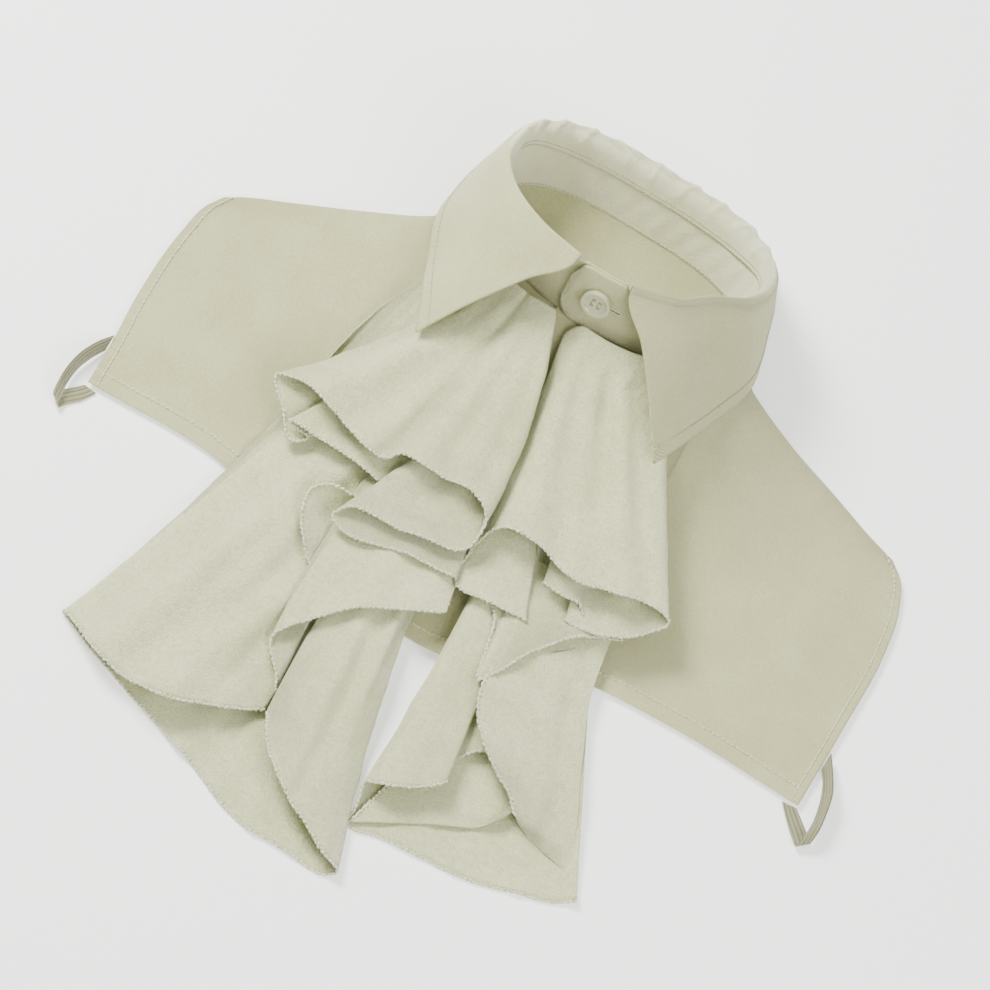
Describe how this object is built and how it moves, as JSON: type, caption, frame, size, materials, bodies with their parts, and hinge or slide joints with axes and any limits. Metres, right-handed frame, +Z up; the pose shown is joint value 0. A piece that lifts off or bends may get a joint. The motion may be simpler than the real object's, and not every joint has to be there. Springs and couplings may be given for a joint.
{
  "type": "ruffled collar",
  "caption": "Detachable shirt collar with front and back bib panels, a buttoned stand, a pointed leaf and a tiered ruffled jabot, laid flat on its back",
  "frame": {"origin": "on the flat underside of the back panel, 130 mm below the nape seam on the middle of the collar, on the surface that the collar lies on", "axes": "+Z up from the surface, +Y from the hem towards the nape, +X to the right of the collar as it is seen from above"},
  "size_m": [0.4244, 0.4209, 0.0884],
  "materials": {
    "poplin": "matte plain-weave cotton, pale olive cream",
    "crepe": "soft satin-backed crepe with a low sheen, pale olive cream",
    "button": "translucent pale shirt button",
    "elastic": "ribbed knitted elastic"
  },
  "bodies": {
    "root": {"back_panel": "poplin", "front_panel_left": "poplin", "front_panel_right": "poplin", "collar_stand": "poplin", "collar_leaf": "poplin", "collar_button": "button", "upper_ruffle_left": "crepe", "upper_ruffle_right": "crepe", "inner_ruffle_left": "crepe", "inner_ruffle_right": "crepe", "lower_ruffle_left": "crepe", "lower_ruffle_right": "crepe", "elastic_left": "elastic", "elastic_right": "elastic"}
  },
  "joints": []
}
